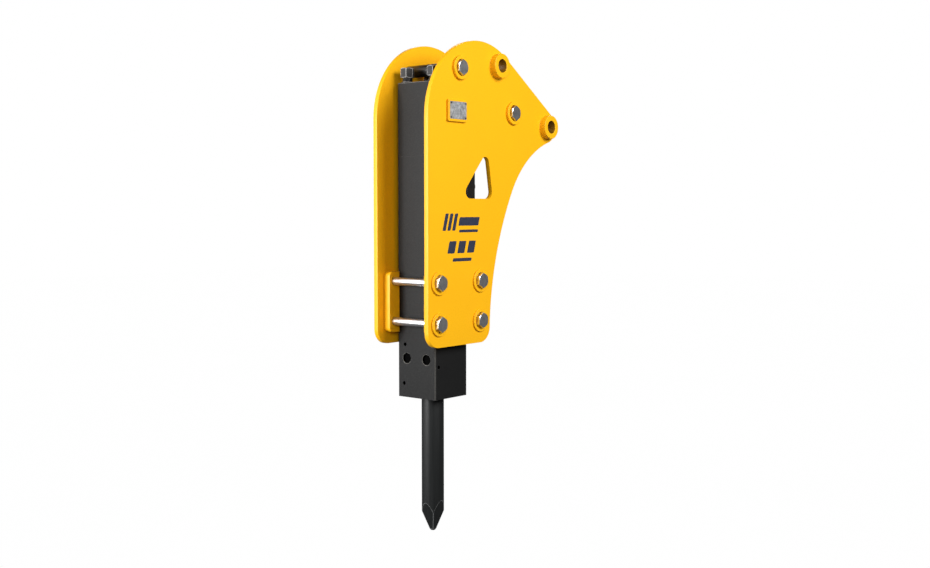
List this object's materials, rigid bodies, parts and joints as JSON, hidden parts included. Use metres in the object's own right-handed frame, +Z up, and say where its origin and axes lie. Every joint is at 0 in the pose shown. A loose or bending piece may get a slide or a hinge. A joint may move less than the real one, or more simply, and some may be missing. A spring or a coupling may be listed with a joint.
{
  "type": "hydraulic breaker hammer",
  "caption": "Hydraulic breaker hammer with a sliding pointed tool and striking piston in a square body, bolted between two open side plates with pin bores for a backhoe.",
  "frame": {"origin": "centre of the dipper pin bore, midway between the two side plates", "axes": "+Z up with the tool pointing down, +Y along the pins, +X away from the tool towards the carrier's arm"},
  "size_m": [0.6949, 0.2915, 1.6415],
  "materials": {
    "yellow_paint": "satin enamel",
    "body_paint": "matt charcoal enamel",
    "black_paint": "satin black enamel",
    "zinc_bolts": "bright zinc plate",
    "dark_fasteners": "black oxide",
    "bare_aluminium": "brushed",
    "hardened_steel": "turned and hardened",
    "ground_steel": "ground",
    "tool_steel": "dark forged and turned",
    "plated_fittings": "zinc plated",
    "seal_rubber": "nitrile",
    "seal_polymer": "polyurethane and filled PTFE"
  },
  "bodies": {
    "housing": {"side_plate_left": "yellow_paint", "side_plate_right": "yellow_paint", "link_pin_bosses": "yellow_paint", "dipper_pin_bosses": "yellow_paint", "bolt_guard_rings": "yellow_paint", "clamp_blocks": "yellow_paint", "rating_plate_pad": "yellow_paint", "lower_clamp_bolts": "zinc_bolts", "upper_clamp_bolts": "zinc_bolts", "clamp_washers": "zinc_bolts", "clamp_nuts": "dark_fasteners", "spacer_tubes": "black_paint", "rating_plate": "bare_aluminium", "rating_plate_rivets": "dark_fasteners", "front_head": "body_paint", "power_cylinder": "body_paint", "back_head": "body_paint", "lower_bush": "hardened_steel", "upper_bush": "hardened_steel", "thrust_ring": "hardened_steel", "tool_dust_seal": "seal_rubber", "retainer_pins": "hardened_steel", "retainer_pin_plugs": "seal_rubber", "retainer_stop_pins": "dark_fasteners", "bush_lock_pins": "dark_fasteners", "grease_nipple": "plated_fittings", "rod_seals": "seal_polymer", "valve_sleeve": "hardened_steel", "seal_retainer": "hardened_steel", "gas_seals": "seal_polymer", "joint_o_rings": "seal_rubber", "gas_valve": "plated_fittings", "gas_valve_cap": "plated_fittings", "tie_rods": "dark_fasteners", "tie_rod_washers": "dark_fasteners", "tie_rod_nuts": "dark_fasteners", "port_block": "body_paint", "port_block_screws": "dark_fasteners", "hose_adapters": "plated_fittings"},
    "tool": {"tool": "tool_steel"},
    "piston": {"piston": "ground_steel"},
    "valve_spool": {"valve_spool": "ground_steel"}
  },
  "joints": [
    {"name": "tool_slide", "type": "slide", "parent": "housing", "child": "tool", "axis": [0, 0, 1], "range_m": [0, 0.045]},
    {"name": "piston_slide", "type": "slide", "parent": "housing", "child": "piston", "axis": [0, 0, 1], "range_m": [0, 0.09]},
    {"name": "valve_slide", "type": "slide", "parent": "housing", "child": "valve_spool", "axis": [0, 0, 1], "range_m": [0, 0.012]}
  ]
}
